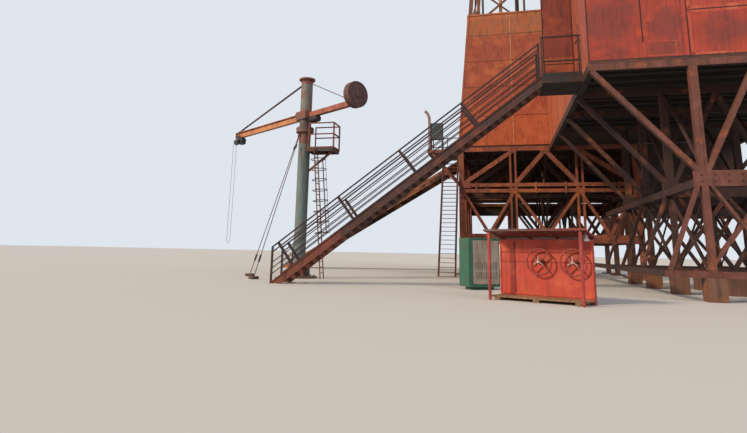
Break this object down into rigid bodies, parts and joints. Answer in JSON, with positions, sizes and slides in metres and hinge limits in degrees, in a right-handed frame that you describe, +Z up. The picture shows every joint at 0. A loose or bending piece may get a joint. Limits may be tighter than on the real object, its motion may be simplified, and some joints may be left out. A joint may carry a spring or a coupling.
{
  "type": "oil drilling rig, scale model at 1:2",
  "caption": "Land drilling rig: lattice derrick on a tall braced substructure with sheeted gear house, stair, pipe ramp, pillar jib crane and hand wheel shelter, at 1:2.",
  "frame": {"origin": "on the ground at the centre of the well, under the middle of the derrick", "axes": "+Z up along the derrick, +Y away from the gear house through the derrick, +X to the right seen from the gear house's front; the pipe ramp comes down towards -X"},
  "size_m": [14.3703, 14.1723, 30.5106],
  "materials": {
    "rust_steel": "rusted structural steel with old brown-red paint",
    "red_sheet": "rusty red painted sheet steel",
    "orange_sheet": "orange rusted sheet steel",
    "dark_steel": "dark brown weathered steel",
    "crane_paint": "grey-green paint with rust",
    "boom_paint": "faded orange paint",
    "shelter_paint": "red-orange paint",
    "hoist_steel": "dark grey paint",
    "cabinet_green": "green paint",
    "deck_timber": "weathered boards"
  },
  "bodies": {
    "root": {"pedestals": "rust_steel", "end_trusses": "rust_steel", "inner_trusses": "rust_steel", "side_trusses": "rust_steel", "skirt_sheets": "rust_steel", "drill_floor": "rust_steel", "derrick_legs": "rust_steel", "derrick_face_front": "rust_steel", "derrick_face_back": "rust_steel", "derrick_face_left": "rust_steel", "derrick_face_right": "rust_steel", "wind_cladding": "orange_sheet", "racking_platform": "rust_steel", "crown_platform": "rust_steel", "derrick_rails": "rust_steel", "house_frames": "rust_steel", "house_tie_beams": "rust_steel", "house_floor": "rust_steel", "house_walls": "red_sheet", "entrance_wall": "red_sheet", "house_roof": "red_sheet", "stair_stringers": "dark_steel", "stair_treads": "dark_steel", "stair_rails": "dark_steel", "landing": "dark_steel", "landing_screen": "red_sheet", "ramp": "dark_steel", "balcony": "rust_steel", "balcony_rails": "dark_steel", "steep_stair": "dark_steel", "cabinets": "cabinet_green", "crane_column": "crane_paint", "crane_platform": "rust_steel", "crane_guys": "dark_steel", "shelter_frame": "shelter_paint", "shelter_panel": "shelter_paint", "shelter_deck": "deck_timber"},
    "door": {"entrance_door": "red_sheet"},
    "jib": {"crane_mast": "crane_paint", "crane_boom": "boom_paint", "counter_jib": "boom_paint", "slewing_motor": "hoist_steel"},
    "trolley": {"hoist_trolley": "hoist_steel"},
    "wheel_left": {"hand_wheel_left": "shelter_paint"},
    "wheel_right": {"hand_wheel_right": "shelter_paint"}
  },
  "joints": [
    {"name": "door_hinge", "type": "hinge", "parent": "root", "child": "door", "pos_m": [0.1267, -8.502, 3.9], "axis": [0, 0, -1], "range_deg": [0, 90]},
    {"name": "jib_slew", "type": "hinge", "parent": "root", "child": "jib", "pos_m": [-6.07, -6.8, 3.56], "axis": [0, 0, 1], "range_deg": [-170, 170]},
    {"name": "trolley_travel", "type": "slide", "parent": "jib", "child": "trolley", "axis": [-0.829, 0.5592, 0], "range_m": [-2.2, 0]},
    {"name": "left_wheel_turn", "type": "hinge", "parent": "root", "child": "wheel_left", "pos_m": [-0.8895, -10.80807, 0.55], "axis": [0.4431, 0.8965, 0], "continuous": true},
    {"name": "right_wheel_turn", "type": "hinge", "parent": "root", "child": "wheel_right", "pos_m": [-0.4547, -11.02296, 0.55], "axis": [0.4431, 0.8965, 0], "continuous": true}
  ]
}
